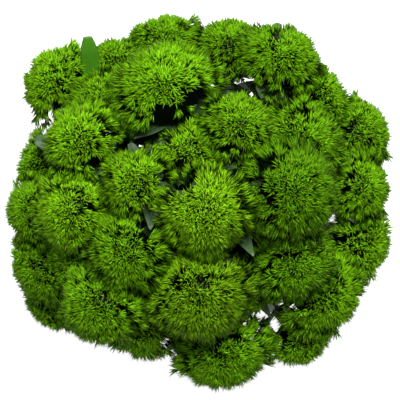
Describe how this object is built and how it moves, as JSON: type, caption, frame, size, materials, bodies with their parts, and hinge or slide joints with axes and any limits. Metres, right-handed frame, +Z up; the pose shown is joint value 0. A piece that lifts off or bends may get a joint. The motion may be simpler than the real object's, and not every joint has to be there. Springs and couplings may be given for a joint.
{
  "type": "hand-tied bunch of green sweet william",
  "caption": "Round hand-tied bunch of green sweet william: fuzzy bract heads packed in a dome on spiralled leafy stems, bound at the waist with twine, standing on its cut ends.",
  "frame": {"origin": "on the surface that the bunch stands on, at the cut end of its middle stem, in the middle of its footprint", "axes": "+Z up along the bunch from the cut ends to the top head, +X to the right of the bunch as seen in the picture from above, +Y to the picture's top"},
  "size_m": [0.3348, 0.3271, 0.3602],
  "materials": {
    "bracts": "matte fresh green needle bracts, yellow-green at the tips and dark at the roots",
    "stems_and_leaves": "satin blue-green leaves with a pale midrib, on paler smooth stems",
    "twine": "coarse natural fibre twine"
  },
  "bodies": {
    "root": {"head_01": "bracts", "head_02": "bracts", "head_03": "bracts", "head_04": "bracts", "head_05": "bracts", "head_06": "bracts", "head_07": "bracts", "head_08": "bracts", "head_09": "bracts", "head_10": "bracts", "head_11": "bracts", "head_12": "bracts", "head_13": "bracts", "head_14": "bracts", "head_15": "bracts", "head_16": "bracts", "head_17": "bracts", "head_18": "bracts", "head_19": "bracts", "head_20": "bracts", "head_21": "bracts", "head_22": "bracts", "head_23": "bracts", "head_24": "bracts", "head_25": "bracts", "head_26": "bracts", "head_27": "bracts", "head_28": "bracts", "head_29": "bracts", "head_30": "bracts", "head_31": "bracts", "head_32": "bracts", "head_33": "bracts", "head_34": "bracts", "head_35": "bracts", "leafy_stem_01": "stems_and_leaves", "leafy_stem_02": "stems_and_leaves", "leafy_stem_03": "stems_and_leaves", "leafy_stem_04": "stems_and_leaves", "leafy_stem_05": "stems_and_leaves", "leafy_stem_06": "stems_and_leaves", "leafy_stem_07": "stems_and_leaves", "leafy_stem_08": "stems_and_leaves", "leafy_stem_09": "stems_and_leaves", "leafy_stem_10": "stems_and_leaves", "leafy_stem_11": "stems_and_leaves", "leafy_stem_12": "stems_and_leaves", "leafy_stem_13": "stems_and_leaves", "leafy_stem_14": "stems_and_leaves", "leafy_stem_15": "stems_and_leaves", "leafy_stem_16": "stems_and_leaves", "leafy_stem_17": "stems_and_leaves", "leafy_stem_18": "stems_and_leaves", "leafy_stem_19": "stems_and_leaves", "leafy_stem_20": "stems_and_leaves", "leafy_stem_21": "stems_and_leaves", "twine_binding": "twine"}
  },
  "joints": []
}
